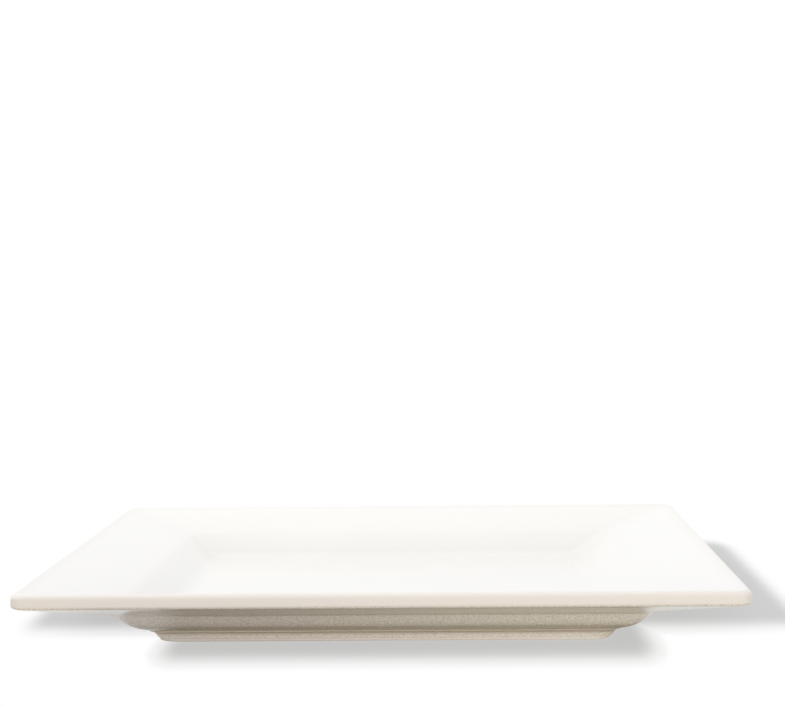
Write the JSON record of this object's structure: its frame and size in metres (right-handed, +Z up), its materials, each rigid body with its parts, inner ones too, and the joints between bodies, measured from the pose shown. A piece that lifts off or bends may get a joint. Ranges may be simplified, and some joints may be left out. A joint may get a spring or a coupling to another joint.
{
  "type": "square dinner plate",
  "caption": "Square glazed porcelain dinner plate with a broad flat sloping rim, a shallow square well and a low square foot ring.",
  "frame": {"origin": "middle of the plate, on the plane that its foot ring stands on", "axes": "+Z up out of the well, +X and +Y square to the sides of the rim, -Y is the side that faces the viewer"},
  "size_m": [0.26, 0.26, 0.0252],
  "materials": {
    "biscuit": "matt",
    "glaze": "gloss",
    "foot_glaze": "gloss"
  },
  "bodies": {
    "root": {"porcelain_body": "biscuit", "outer_glaze": "glaze", "base_glaze": "foot_glaze"}
  },
  "joints": []
}
